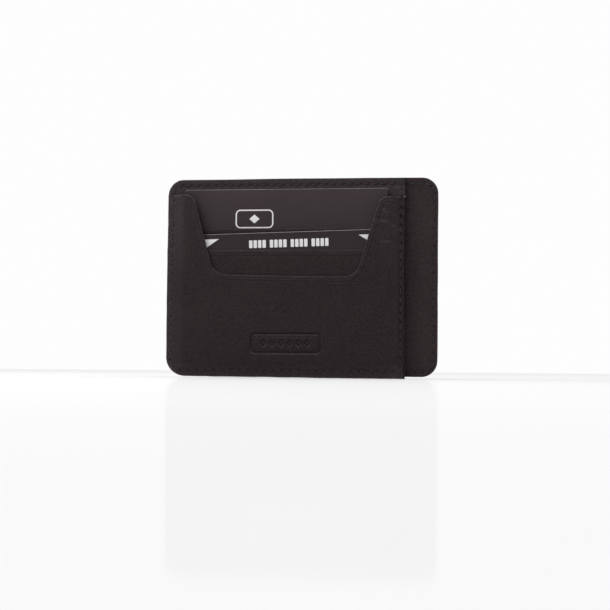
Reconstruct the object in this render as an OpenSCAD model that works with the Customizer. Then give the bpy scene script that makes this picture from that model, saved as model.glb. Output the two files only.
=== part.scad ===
// Leather card holder: a stiffened back panel, and a pocket block sewn over its left part.
// The block has two stepped card slots behind a front panel with a thumb scoop, and a flat
// pocket between the block and the back panel is open at the right.
// The holder stands on its long edge: X runs along its width, Z up its height, and the
// front faces -Y. The origin is at the middle of the foot of its bounding box.

/* [Back panel] */
// Width of the back panel
panel_w = 105; // [102:0.5:112]
// Height of the back panel
panel_h = 75.5; // [74:0.5:82]
// Radius of the outer corners
corner_r = 6; // [4:0.1:7]
// Thickness of the outer leather
cover_t = 0.9; // [0.7:0.1:1.4]
// Thickness of the stiffening board
board_t = 0.4; // [0.3:0.1:0.8]
// Thickness of the leather that faces the board
facing_t = 0.6; // [0.4:0.1:1]
// Width of the outer leather that is turned around the board's edge
turned_w = 2; // [1.5:0.1:3]

/* [Pocket block] */
// Width of the block, from the left edge of the back panel
block_w = 92.8; // [91:0.1:94]
// How far the block's lower right corner hangs below the back panel
sag = 0.8; // [0.2:0.1:1.2]
// Thickness of the leather sheet behind the cards
base_t = 0.6; // [0.4:0.1:1]
// Thickness of the lining on the back of the block
pocket_lining_t = 0.25; // [0.15:0.05:0.4]
// Width of the lining's folded hem along the closed sides of the flat pocket
hem_w = 3.4; // [3:0.1:5]

/* [Card slots] */
// Height of the upper slot's mouth
upper_mouth = 56.4; // [54:0.1:58]
// Height of the lower slot's mouth
lower_mouth = 48; // [45:0.1:50]
// Height of the upper slot's floor
upper_floor = 21.4; // [20:0.1:22]
// Height of the lower slot's floor
lower_floor = 3.75; // [3.6:0.05:3.8]
// Clear depth of each slot
slot_gap = 1; // [0.85:0.05:1.2]
// Thickness of a slot's leather and of the cloth below it
slot_t = 0.4; // [0.3:0.05:0.6]
// Height of a slot's leather, from its mouth down to the cloth
slot_leather_h = 22; // [16:0.5:26]

/* [Front panel] */
// Thickness of the front leather
front_t = 0.9; // [0.7:0.1:1.2]
// Thickness of the lining behind it
front_lining_t = 0.15; // [0.1:0.05:0.2]
// Clear depth of the pocket behind the lining
front_gap = 0.3; // [0.2:0.1:0.8]
// Height of the scoop's bottom edge
scoop_bottom = 38.1; // [34:0.1:42]
// Height of the two horns beside the scoop, in the middle of their slant
horn_top = 68.75; // [66:0.05:70]
// Width of the scoop's bottom edge between its sharp corners
scoop_w = 55.2; // [45:0.1:58]
// Lean of the scoop's sides
scoop_lean = 15.7; // [10:0.1:17]
// Radius at the scoop's bottom
scoop_r = 6.5; // [4:0.1:8]
// Radius of the horns
horn_r = 4; // [2:0.1:5]
// Slant of the scoop, as the panel was sewn
scoop_slant = 1; // [0:0.1:1.5]

/* [Embossed frame] */
// Width of the frame
frame_w = 27.5; // [20:0.1:34]
// Height of the frame
frame_h = 7.8; // [6:0.1:10]
// Width of the pressed line
frame_line = 0.6; // [0.4:0.1:0.8]
// Depth of the pressed line
frame_depth = 0.15; // [0.1:0.05:0.3]

/* [Cards] */
// Width of a card
card_w = 79; // [76:0.5:80]
// Height of a card
card_h = 50; // [48:0.5:50.5]
// Thickness of a card
card_t = 0.45; // [0.3:0.05:0.5]
// Tilt of the lower card in its slot
lower_tilt = 1.5; // [0:0.1:1.6]

/* [Stitching] */
// Distance from one stitch to the next
stitch_pitch = 3.2; // [2.8:0.1:4]
// Length of a stitch
stitch_l = 2.3; // [1.8:0.1:2.5]
// Width of the thread
thread_w = 0.5; // [0.3:0.05:0.5]
// Thickness of the thread as it lies on the leather
thread_t = 0.25; // [0.15:0.05:0.25]

/* [Hidden] */

LEATHER = [0.17, 0.15, 0.155];
INNER_LEATHER = [0.19, 0.165, 0.17];
CLOTH = [0.1, 0.095, 0.1];
BOARD = [0.55, 0.5, 0.43];
THREAD = [0.09, 0.085, 0.09];
CARD = [0.25, 0.225, 0.24];

// Points in each rounded corner, and a length beyond every outline
arc_steps = 8;
far = 200;

// Edges of the back panel and the block
left = -panel_w / 2;
right = panel_w / 2;
block_right = left + block_w;

// Levels are distances in front of the holder's back face
facing_level = cover_t + board_t;
strip_level = facing_level + facing_t;
hem_t = pocket_lining_t;
lining_level = strip_level + hem_t;
base_level = lining_level + pocket_lining_t;
base_front = base_level + base_t;

// Levels in the sewn margin, where the sheets lie on each other
lower_seam = base_front + slot_t;
front_seam = lower_seam + slot_t;

// Levels over the cards
upper_face = base_front + slot_gap;
lower_face = upper_face + slot_t + slot_gap;
front_lining_level = lower_face + slot_t + front_gap;
front_face = front_lining_level + front_lining_t;
total_t = front_face + front_t;

// The outer seam runs this far inside the left, bottom, right and top edges
seam_inset = [2.5, 2.1, 1.3, 2.3];
seam_r = 3.8;
edge_seam_inset = 1.5;
seam_left = left + seam_inset[0];
edge_seam_x = block_right - edge_seam_inset;
groove_w = 0.9;

// Thickness of each sheet where it steps up over the cards
slot_wall = 0.35;
front_wall = 0.5;

// The spaces inside the sheets: [left, bottom, right, top], open at the top
seam_clear = thread_w / 2 + 0.05;
front_in = seam_clear + front_wall;
lower_in = front_in + slot_wall;
upper_in = lower_in + slot_wall;
upper_space = [seam_left + upper_in, upper_floor, edge_seam_x - upper_in, far];
lower_space = [seam_left + lower_in, lower_floor, edge_seam_x - lower_in, far];
front_space = [seam_left + front_in, lower_floor - slot_wall, edge_seam_x - front_in, far];
space_x = (seam_left + edge_seam_x) / 2;
front_space_r = 2.9;
lower_space_r = front_space_r - slot_wall;
frame_z = 12.3;
frame_x = space_x + 0.7;
frame_r = 1.8;
card_r = 0.6;
rest_gap = 0.05;

// The arc that rounds corner b, on the way from a to c, with the radius b[2]
function rounded_corner(a, b, c) =
    let (
        p = [b[0], b[1]],
        u = [a[0], a[1]] - p,
        v = [c[0], c[1]] - p,
        to_a = u / norm(u),
        to_c = v / norm(v),
        half = acos(to_a * to_c) / 2,
        centre = p + (to_a + to_c) / norm(to_a + to_c) * b[2] / sin(half),
        start = p + to_a * b[2] / tan(half) - centre,
        stop = p + to_c * b[2] / tan(half) - centre,
        from = atan2(start[1], start[0]),
        turn = (atan2(stop[1], stop[0]) - from + 540) % 360 - 180
    )
    b[2] == 0 ? [p] : [
        for (i = [0 : arc_steps])
            centre + b[2] * [cos(from + turn * i / arc_steps), sin(from + turn * i / arc_steps)]
    ];

// An outline whose corners are [x, z, radius]
function outline(corners) =
    let (n = len(corners))
    [
        for (i = [0 : n - 1])
            each rounded_corner(corners[(i + n - 1) % n], corners[i], corners[(i + 1) % n])
    ];

function grown(box, by) = [box[0] - by, box[1] - by, box[2] + by, box[3] + by];

function box_corners(box, r) = [
    [box[0], box[1], r], [box[2], box[1], r], [box[2], box[3], r], [box[0], box[3], r]
];

// Points spaced evenly from a to b, about one pitch apart
function stations(a, b) =
    let (n = max(1, floor(norm(b - a) / stitch_pitch)))
    [for (i = [0 : n - 1]) a + (b - a) * (i + 0.5) / n];

module area(box, r = 0) polygon(outline(box_corners(box, r)));

module band(low, high) area([-far, low, far, high]);

// A flat sheet of thickness t, with its back at the level
module sheet(level, t)
    translate([0, total_t / 2 - level, sag])
        rotate([90, 0, 0])
            linear_extrude(height = t)
                children();

// A sheet that lies on the seam around a space, and steps up over it to the face level.
// The space's corners have the radius r inside the step.
module stepped_sheet(seam, face, t, wall, space, r = 0) {
    sheet(seam, t)
        difference() {
            children();
            area(space, r);
        }
    sheet(seam, face + t - seam)
        intersection() {
            children();
            difference() {
                area(grown(space, wall), r == 0 ? 0 : r + wall);
                area(space, r);
            }
        }
    sheet(face, t)
        intersection() {
            children();
            area(space, r);
        }
}

module panel_outline(inset = 0)
    polygon(outline(box_corners(grown([left, 0, right, panel_h], -inset), corner_r - inset)));

module block_outline()
    polygon(outline([
        [left, 0, corner_r], [block_right, -sag, 0], [block_right, panel_h, 0],
        [left, panel_h, corner_r]
    ]));

// The block's outline below the horns, without the scoop, drawn back by trim
module front_outline(trim = 0) {
    lean = tan(scoop_lean);
    foot = scoop_w / 2 + trim / cos(scoop_lean) - trim * lean;
    horn = horn_top - scoop_bottom - trim;
    shoulder = foot + (horn + trim) * lean;
    difference() {
        block_outline();
        translate([space_x, scoop_bottom])
            rotate(-scoop_slant)
                polygon(outline([
                    [-foot, -trim, scoop_r], [foot, -trim, scoop_r], [shoulder, horn, horn_r],
                    [far, horn, 0], [far, far, 0], [-far, far, 0], [-far, horn, 0],
                    [-shoulder, horn, horn_r]
                ]));
    }
}

module seam_line(width)
    difference() {
        polygon(outline(box_corners(grown(outer_seam(), width / 2), seam_r + width / 2)));
        polygon(outline(box_corners(grown(outer_seam(), -width / 2), seam_r - width / 2)));
    }

function outer_seam() = [
    left + seam_inset[0], seam_inset[1], right - seam_inset[2], panel_h - seam_inset[3]
];

module back_cover()
    color(LEATHER)
        difference() {
            union() {
                sheet(0, cover_t) panel_outline();
                sheet(cover_t, board_t)
                    difference() {
                        panel_outline();
                        panel_outline(turned_w);
                    }
            }
            sheet(0, thread_t) seam_line(groove_w);
        }

module back_stiffener()
    color(BOARD)
        sheet(cover_t, board_t) panel_outline(turned_w);

module back_facing()
    color(INNER_LEATHER)
        sheet(facing_level, facing_t) panel_outline();

// The lining is folded double along the three sewn sides, which leaves the flat pocket open
module side_pocket_lining()
    color(CLOTH) {
        sheet(lining_level, pocket_lining_t) block_outline();
        sheet(strip_level, hem_t)
            difference() {
                block_outline();
                area([left + hem_w, hem_w, far, panel_h - hem_w]);
            }
    }

module block_base()
    color(INNER_LEATHER)
        sheet(base_level, base_t) block_outline();

module upper_slot(low, high)
    stepped_sheet(base_front, upper_face, slot_t, slot_wall, upper_space)
        intersection() {
            block_outline();
            band(low, high);
        }

module lower_slot(low, high)
    stepped_sheet(lower_seam, lower_face, slot_t, slot_wall, lower_space, lower_space_r)
        intersection() {
            block_outline();
            band(low, high);
        }

module upper_slot_leather()
    color(LEATHER) upper_slot(upper_mouth - slot_leather_h, upper_mouth);

module upper_slot_cloth()
    color(CLOTH) upper_slot(-far, upper_mouth - slot_leather_h);

module lower_slot_leather()
    color(LEATHER) lower_slot(lower_mouth - slot_leather_h, lower_mouth);

module lower_slot_cloth()
    color(CLOTH) lower_slot(-far, lower_mouth - slot_leather_h);

// The sewn margin steps down above each slot's mouth, where there is one sheet less below
module front_panel()
    color(LEATHER)
        difference() {
            for (step = [
                [-far, lower_mouth, front_seam],
                [lower_mouth, upper_mouth, lower_seam],
                [upper_mouth, far, base_front]
            ])
                stepped_sheet(step[2], front_face, front_t, front_wall, front_space, front_space_r)
                    intersection() {
                        front_outline();
                        band(step[0], step[1]);
                    }
            sheet(total_t - frame_depth, frame_depth)
                difference() {
                    embossed_outline(frame_line);
                    embossed_outline(0);
                }
        }

module embossed_outline(by) {
    box = [frame_x - frame_w / 2, frame_z - frame_h / 2, frame_x + frame_w / 2, frame_z + frame_h / 2];
    polygon(outline(box_corners(grown(box, by - frame_line), frame_r + by - frame_line)));
}

module front_panel_lining()
    color(CLOTH)
        sheet(front_lining_level, front_lining_t)
            intersection() {
                front_outline(1);
                area(grown(front_space, -0.3));
            }

module stitch(p, angle, level, t)
    sheet(level, t)
        translate(p)
            rotate(angle)
                square([stitch_l, thread_w], center = true);

module stitch_run(a, b, level, t) {
    angle = atan2(b[1] - a[1], b[0] - a[0]);
    for (p = stations(a, b)) stitch(p, angle, level, t);
}

// The stitches around the seam's corner, whose arc starts at an angle from its centre
module stitch_corner(centre, start, level, t)
    for (turn = [22.5, 67.5])
        stitch(centre + seam_r * [cos(start + turn), sin(start + turn)], start + turn + 90, level, t);

// The stitches of a run up the side of the front panel, which follow its steps
module stitch_side(x, low, high)
    for (p = stations([x, low], [x, high])) {
        foot = p[1] - stitch_l / 2;
        level = foot < lower_mouth ? front_seam : foot < upper_mouth ? lower_seam : base_front;
        stitch(p, 90, level + front_t, thread_t);
    }

module outer_stitches_front() {
    seam = outer_seam();
    in = grown(seam, -seam_r);
    edge_gap = 0.4;
    horn_left = horn_top + (space_x - seam[0]) * tan(scoop_slant);
    color(THREAD) {
        stitch_run([in[0], seam[1]], [block_right - edge_gap, seam[1]], front_seam + front_t, thread_t);
        stitch_run([block_right + edge_gap, seam[1]], [in[2], seam[1]], strip_level, thread_t);
        stitch_run([seam[2], in[1]], [seam[2], in[3]], strip_level, thread_t);
        stitch_run([block_right + edge_gap, seam[3]], [in[2], seam[3]], strip_level, thread_t);
        stitch_run([in[0], seam[3]], [block_right - edge_gap, seam[3]], base_front, thread_t);
        stitch_side(seam[0], in[1], min(in[3], horn_left) - edge_gap);
        stitch_corner([in[0], in[1]], 180, front_seam + front_t, thread_t);
        stitch_corner([in[2], in[1]], 270, strip_level, thread_t);
        stitch_corner([in[2], in[3]], 0, strip_level, thread_t);
        stitch_corner([in[0], in[3]], 90, base_front, thread_t);
    }
}

module outer_stitches_back() {
    seam = outer_seam();
    in = grown(seam, -seam_r);
    color(THREAD) {
        for (z = [seam[1], seam[3]]) stitch_run([in[0], z], [in[2], z], 0, thread_t);
        for (x = [seam[0], seam[2]]) stitch_run([x, in[1]], [x, in[3]], 0, thread_t);
        stitch_corner([in[0], in[1]], 180, 0, thread_t);
        stitch_corner([in[2], in[1]], 270, 0, thread_t);
        stitch_corner([in[2], in[3]], 0, 0, thread_t);
        stitch_corner([in[0], in[3]], 90, 0, thread_t);
    }
}

module block_edge_stitches_front() {
    horn_right = horn_top - (edge_seam_x - space_x) * tan(scoop_slant);
    low = seam_inset[1] + stitch_pitch / 2;
    color(THREAD) {
        stitch_side(edge_seam_x, low, horn_right - 0.5);
        stitch([edge_seam_x, horn_right + stitch_pitch / 2], 90, base_front, thread_t);
    }
}

module block_edge_stitches_back()
    color(THREAD)
        stitch_run(
            [edge_seam_x, hem_w], [edge_seam_x, panel_h - hem_w], lining_level - hem_t / 2, hem_t / 2
        );

module upper_slot_floor_stitches()
    color(THREAD)
        stitch_run(
            [upper_space[0], upper_floor - 1.2], [upper_space[2], upper_floor - 1.2],
            lower_seam, thread_t
        );

// A card in a slot, clear of the seam's thread behind it. Its middle is at space_x + shift,
// and its lowest corner stands on the slot's floor.
module card_in_slot(slot_level, floor_z, shift, tilt)
    sheet(slot_level + thread_t + rest_gap, card_t)
        translate([space_x + shift, floor_z + rest_gap + card_w / 2 * sin(tilt)])
            rotate(tilt)
                polygon(outline(box_corners([-card_w / 2, 0, card_w / 2, card_h], card_r)));

module upper_card()
    color(CARD) card_in_slot(base_front, upper_floor, -0.2, 0);

module lower_card()
    color(CARD) card_in_slot(upper_face + slot_t, lower_floor, 1.1, lower_tilt);

back_cover();
back_stiffener();
back_facing();
side_pocket_lining();
block_base();
upper_slot_leather();
upper_slot_cloth();
lower_slot_leather();
lower_slot_cloth();
front_panel();
front_panel_lining();
outer_stitches_front();
outer_stitches_back();
block_edge_stitches_front();
block_edge_stitches_back();
upper_slot_floor_stitches();
upper_card();
lower_card();
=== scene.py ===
"""The looks of the card holder: sewn leather and cloth sheets, two cards and their stitching,
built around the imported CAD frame. Lengths in the making are in millimetres."""

import math

import bpy
import numpy as np
from mathutils import Matrix, Vector
from mathutils.geometry import delaunay_2d_cdt


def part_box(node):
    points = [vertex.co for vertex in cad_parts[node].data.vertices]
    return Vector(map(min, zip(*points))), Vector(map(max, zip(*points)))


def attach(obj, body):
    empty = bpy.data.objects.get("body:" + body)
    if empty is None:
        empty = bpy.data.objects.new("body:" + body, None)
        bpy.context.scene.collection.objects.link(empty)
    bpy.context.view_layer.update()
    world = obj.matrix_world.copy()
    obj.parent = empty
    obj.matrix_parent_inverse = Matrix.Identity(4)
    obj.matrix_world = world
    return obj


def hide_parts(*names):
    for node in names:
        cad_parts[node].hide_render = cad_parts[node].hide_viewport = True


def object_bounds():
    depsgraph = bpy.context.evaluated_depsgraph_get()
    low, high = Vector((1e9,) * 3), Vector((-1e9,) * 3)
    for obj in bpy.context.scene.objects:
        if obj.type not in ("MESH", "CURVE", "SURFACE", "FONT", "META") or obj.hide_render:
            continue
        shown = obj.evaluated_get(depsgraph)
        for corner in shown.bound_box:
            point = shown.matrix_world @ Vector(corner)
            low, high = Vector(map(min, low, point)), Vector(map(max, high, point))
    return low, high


MM = 0.001
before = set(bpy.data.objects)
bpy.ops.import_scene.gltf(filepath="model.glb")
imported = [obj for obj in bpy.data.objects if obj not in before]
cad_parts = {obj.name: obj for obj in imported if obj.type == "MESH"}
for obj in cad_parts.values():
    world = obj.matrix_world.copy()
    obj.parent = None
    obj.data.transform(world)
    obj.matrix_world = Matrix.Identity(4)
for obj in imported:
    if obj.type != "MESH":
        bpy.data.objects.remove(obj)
CAD_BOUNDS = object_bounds()

# ---------------------------------------------------------------- places from the CAD


def box_mm(node):
    """The lowest and highest corner of a CAD node, in millimetres."""
    low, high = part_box(node)
    return np.array(low) / MM, np.array(high) / MM


COVER, BLOCK = box_mm("back_cover"), box_mm("block_base")
BACK_Y = COVER[1][1]
LEFT, RIGHT, FOOT, TOP = COVER[0][0], COVER[1][0], COVER[0][2], COVER[1][2]
BLOCK_RIGHT, BLOCK_FOOT = BLOCK[1][0], BLOCK[0][2]


def levels(node):
    """How far in front of the holder's back face a CAD node starts and ends."""
    low, high = box_mm(node)
    return BACK_Y - high[1], BACK_Y - low[1]


UPPER_MOUTH, LOWER_MOUTH = box_mm("upper_slot_leather")[1][2], box_mm("lower_slot_leather")[1][2]
UPPER_SPLIT, LOWER_SPLIT = box_mm("upper_slot_leather")[0][2], box_mm("lower_slot_leather")[0][2]
THREAD_HALF = 0.25
SEAM_BOX = box_mm("outer_stitches_back")
SEAM = [SEAM_BOX[0][0] + THREAD_HALF, SEAM_BOX[0][2] + THREAD_HALF,
        SEAM_BOX[1][0] - THREAD_HALF, SEAM_BOX[1][2] - THREAD_HALF]
SEAM_R = 3.8
EDGE_SEAM = sum(b[0] for b in box_mm("block_edge_stitches_front")) / 2
FLOOR_SEAM = sum(b[2] for b in box_mm("upper_slot_floor_stitches")) / 2
CORNER_R = 6.0
FOOT_R = 7.3     # the worn lower left corner
DRAWN_IN = 0.3   # from the panel's left edge to the block's
FOOT_SAG = 0.35  # how far the block's left end hangs below the panel

BASE_BACK, BASE_FRONT = levels("block_base")
SLOT_T = 0.4
FRONT_T = 0.9
SHEET_GAP = 0.06    # between a card and the sheet in front of it
FRONT_CLEAR = 0.52  # from the lower slot's inner face to the front panel's
UPPER_FACE = levels("upper_card")[1] + SHEET_GAP
LOWER_FACE = levels("lower_card")[1] + SHEET_GAP
FRONT_FACE = LOWER_FACE + FRONT_CLEAR
STRIP = levels("back_facing")[1]
BOARD = levels("back_facing")[0]
LINING = levels("side_pocket_lining")

SCOOP = {"x": (SEAM[0] + EDGE_SEAM) / 2, "z": FOOT + 38.1, "half": 27.6, "horn": 30.65,
         "lean": math.radians(15.7), "slant": math.radians(1), "r": 6.5, "horn_r": 4}

# ---------------------------------------------------------------- outlines


class Outline:
    """A closed outline, anticlockwise, whose corners are (x, z, radius).

    ring(inset) gives its points about step apart, moved inwards, and as many for each inset."""

    def __init__(self, corners, step=0.4):
        self.corners = [(np.array(c[:2], float), c[2]) for c in corners]
        self.arcs, self.runs = [], []
        for i, (_, r) in enumerate(self.corners):
            pieces = 0 if r == 0 else max(4, math.ceil(abs(self.arc(i, 0.0)[2]) * r / step))
            self.arcs.append(pieces)
        turns = [self.turn(i, 0.0) for i in range(len(corners))]
        for a, b in zip(turns, turns[1:] + turns[:1]):
            self.runs.append(max(1, math.ceil(np.linalg.norm(b[0] - a[-1]) / step)))

    def moved(self, i, inset):
        """Corner i after each edge has moved inwards, and +1 where it points outwards, else -1."""
        (a, _), (b, _), (c, _) = (self.corners[(i + k) % len(self.corners)] for k in (-1, 0, 1))
        u, v = (b - a) / np.linalg.norm(b - a), (c - b) / np.linalg.norm(c - b)
        n1, n2 = np.array([-u[1], u[0]]), np.array([-v[1], v[0]])
        return b + (n1 + n2) / (1 + n1 @ n2) * inset, 1 if u[0] * v[1] - u[1] * v[0] > 0 else -1

    def arc(self, i, inset):
        """The centre, first angle, turn and radius of corner i."""
        n = len(self.corners)
        a, c = (self.moved((i + k) % n, inset)[0] for k in (-1, 1))
        b, way = self.moved(i, inset)
        r = max(self.corners[i][1] - way * inset, 0.05)
        u, v = (a - b) / np.linalg.norm(a - b), (c - b) / np.linalg.norm(c - b)
        half = math.acos(float(u @ v)) / 2
        centre = b + (u + v) / np.linalg.norm(u + v) * r / math.sin(half)
        start, stop = b + u * r / math.tan(half) - centre, b + v * r / math.tan(half) - centre
        first = math.atan2(start[1], start[0])
        turn = (math.atan2(stop[1], stop[0]) - first + 3 * math.pi) % (2 * math.pi) - math.pi
        return centre, first, turn, r

    def turn(self, i, inset):
        """The points of corner i."""
        if self.corners[i][1] == 0:
            return [self.moved(i, inset)[0]]
        centre, first, turn, r = self.arc(i, inset)
        angles = first + turn * np.linspace(0, 1, self.arcs[i] + 1)
        return [centre + r * np.array([math.cos(t), math.sin(t)]) for t in angles]

    def ring(self, inset=0.0):
        turns = [self.turn(i, inset) for i in range(len(self.corners))]
        points = []
        for here, after, count in zip(turns, turns[1:] + turns[:1], self.runs):
            a, b = here[-1], after[0]
            points += here + [a + (b - a) * k / count for k in range(1, count)]
        return np.array(points)


def box_outline(x0, z0, x1, z1, r, step):
    """A rectangle with round corners."""
    return Outline([(x0, z0, r), (x1, z0, r), (x1, z1, r), (x0, z1, r)], step)


def block_outline(low=None, high=None):
    """The block's outline, or the band of it between two heights."""
    left = LEFT + DRAWN_IN
    sides = [(left, FOOT - FOOT_SAG, FOOT_R), (BLOCK_RIGHT, BLOCK_FOOT, 0)] if low is None else [
        (left, low, 0), (BLOCK_RIGHT, low, 0)]
    sides += [(BLOCK_RIGHT, TOP, 0), (left, TOP, CORNER_R)] if high is None else [
        (BLOCK_RIGHT, high, 0), (left, high, 0)]
    return Outline(sides)


def below_horns(foot_corners, trim=0.0, step=0.4):
    """An outline between two lower corners, and above them the horns and the scoop.

    The scoop's edge is drawn back by trim."""
    s = SCOOP
    lean = math.tan(s["lean"])
    foot = s["half"] + trim / math.cos(s["lean"]) - trim * lean
    horn = s["horn"] - trim
    shoulder = foot + (horn + trim) * lean
    c, d = math.cos(s["slant"]), math.sin(s["slant"])

    def place(x, z):
        return s["x"] + x * c + z * d, s["z"] - x * d + z * c

    def end(edge):
        """Where the horn's line meets an upright edge."""
        return edge, place((edge - s["x"] - horn * d) / c, horn)[1]

    return Outline([
        *foot_corners, (*end(foot_corners[1][0]), 0),
        (*place(shoulder, horn), s["horn_r"]), (*place(foot, -trim), s["r"]),
        (*place(-foot, -trim), s["r"]), (*place(-shoulder, horn), s["horn_r"]),
        (*end(foot_corners[0][0]), 0)], step)


def inside(points, outline):
    """Which of the points lie inside a closed outline."""
    a, b = outline, np.roll(outline, -1, 0)
    found = np.zeros(len(points), bool)
    for (x0, z0), (x1, z1) in zip(a, b):
        if z0 != z1:
            crosses = (z0 > points[:, 1]) != (z1 > points[:, 1])
            found ^= crosses & (points[:, 0] < x0 + (points[:, 1] - z0) * (x1 - x0) / (z1 - z0))
    return found


# ---------------------------------------------------------------- shaping functions


def smooth(a, b, t):
    """0 up to a and 1 from b on, with a soft step between."""
    t = np.clip((t - a) / (b - a), 0, 1)
    return t * t * (3 - 2 * t)


def bell(t, width):
    """A hump of height 1 at 0."""
    return np.exp(-(t / width) ** 2)


def waves(x, z, seed, long_x, long_z, count=9):
    """A gentle, seeded unevenness between about -1 and 1, with waves of about these lengths."""
    rng = np.random.default_rng(seed)
    total = 0
    for _ in range(count):
        kx, kz = rng.normal(0, 1, 2) * 2 * math.pi / np.array([long_x, long_z])
        total = total + np.sin(kx * x + kz * z + rng.uniform(0, 2 * math.pi))
    return total / count ** 0.5 / 1.4


def rounded_box_distance(x, z, box, r):
    """How far outside a rounded rectangle a point is; less than 0 inside."""
    cx, cz = (box[0] + box[2]) / 2, (box[1] + box[3]) / 2
    qx = np.abs(x - cx) - (box[2] - box[0]) / 2 + r
    qz = np.abs(z - cz) - (box[3] - box[1]) / 2 + r
    return np.hypot(np.maximum(qx, 0), np.maximum(qz, 0)) + np.minimum(np.maximum(qx, qz), 0) - r


def stitch_marks(node):
    """Each stitch of a CAD node: its middle, its direction and half its length, in x and z."""
    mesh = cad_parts[node].data
    co = np.array([v.co for v in mesh.vertices], float) / MM
    keys = {}
    same = [keys.setdefault(tuple(np.round(c, 3)), len(keys)) for c in co]
    places = np.array(list(keys), float)
    group = list(range(len(places)))

    def root(i):
        while group[i] != i:
            group[i] = group[group[i]]
            i = group[i]
        return i

    for p in mesh.polygons:
        first = root(same[p.vertices[0]])
        for v in p.vertices[1:]:
            group[root(same[v])] = first
    members = {}
    for i in range(len(places)):
        members.setdefault(root(i), []).append(i)
    marks = []
    for ids in members.values():
        flat = places[ids][:, [0, 2]]
        middle = flat.mean(0)
        u = np.linalg.svd(flat - middle)[2][0]
        u = u if (u[0], u[1]) > (0, 0) else -u
        marks.append([*middle, *u, np.abs((flat - middle) @ u).max()])
    return np.array(sorted(marks))


STITCH_REACH = 2.4  # from a stitch's middle, past which it doesn't draw the leather in
HOLE_AT = 0.42      # from a stitch's end to the middle of the gap


def pressed(x, z, marks, depth=0.05, holes=0.25):
    """How deep the thread pulls the leather in: along each stitch, and more at the holes between."""
    deep = np.zeros_like(x)
    for cx, cz, ux, uz, half in marks:
        near = np.flatnonzero((np.abs(x - cx) < STITCH_REACH) & (np.abs(z - cz) < STITCH_REACH))
        dx, dz = x[near] - cx, z[near] - cz
        s, t = np.abs(dx * ux + dz * uz), -dx * uz + dz * ux
        here = depth * bell(t, 0.42) * (1 - smooth(half, half + 0.5, s))
        here = here + holes * bell(np.hypot(s - half - HOLE_AT, t), 0.3)
        deep[near] = np.maximum(deep[near], here)
    return deep


MARKS = {n: stitch_marks(n) for n in (
    "outer_stitches_front", "outer_stitches_back", "block_edge_stitches_front",
    "block_edge_stitches_back", "upper_slot_floor_stitches")}
FRONT_MARKS = np.vstack([MARKS["outer_stitches_front"], MARKS["block_edge_stitches_front"]])


def rise(x, z, floor=SEAM[1], reach=1.65):
    """0 in the sewn margin, growing to 1 over the cards that stand on a seam."""
    return (smooth(0.35, 4.5, x - SEAM[0]) * smooth(0.3, 3.6, EDGE_SEAM - x)
            * smooth(0.15, reach, z - floor))


def outer_rise(x, z):
    """The same for the front panel's outer face, which turns more gently."""
    return (smooth(-1.0, 5.5, x - SEAM[0]) * smooth(-0.4, 4.8, EDGE_SEAM - x)
            * smooth(-1.2, 3.4, z - SEAM[1]))


def upper_under(x, z):
    """The inner face of the upper slot's sheets."""
    return BASE_FRONT + (UPPER_FACE - BASE_FRONT) * rise(x, z, FLOOR_SEAM, 1.2)


def lower_under(x, z):
    """The inner face of the lower slot's sheets."""
    seam = BASE_FRONT + SLOT_T
    return seam + (LOWER_FACE - seam) * rise(x, z)


def front_margin(z):
    """The level that the front panel's sewn margin lies on: one sheet less past each mouth."""
    passed = smooth(0, 1.8, z - LOWER_MOUTH) + smooth(0, 1.8, z - UPPER_MOUTH)
    return BASE_FRONT + SLOT_T * (2 - passed)


def front_skin(x, z):
    """The outer face of the front panel before its details."""
    margin = front_margin(z) + FRONT_T - 0.1
    face = FRONT_FACE + FRONT_T - SHEET_GAP
    return margin + (face - margin) * outer_rise(x, z)


def front_under(x, z):
    """The inner face of the front panel, whose margin steps down past each slot's mouth."""
    seam = front_margin(z)
    return seam + (FRONT_FACE - seam) * rise(x, z)


# ---------------------------------------------------------------- meshes


def add_piece(name, verts, faces, body, replaces=(), materials=(), face_material=None,
              wear_and_painted_light=None):
    """A smooth mesh from points in x, level and z, in millimetres, riding on a CAD body."""
    verts = np.array(verts, float)
    world = np.stack([verts[:, 0], BACK_Y - verts[:, 1], verts[:, 2]], 1) * MM
    mesh = bpy.data.meshes.new(name)
    mesh.from_pydata(world.tolist(), [], [tuple(map(int, f)) for f in faces])
    for m in materials:
        mesh.materials.append(m)
    if face_material is not None:
        mesh.polygons.foreach_set("material_index", np.array(face_material, np.int32))
    wear_and_painted_light = np.zeros(len(verts)) if wear_and_painted_light is None else wear_and_painted_light
    attribute = mesh.attributes.new("wear_and_painted_light", "FLOAT", "POINT")
    attribute.data.foreach_set("value", np.array(wear_and_painted_light, np.float32))
    mesh.polygons.foreach_set("use_smooth", np.ones(len(mesh.polygons), bool))
    mesh.update()
    piece = bpy.data.objects.new(name, mesh)
    bpy.context.scene.collection.objects.link(piece)
    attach(piece, body)
    if replaces:
        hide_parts(*replaces)
    return piece


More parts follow.
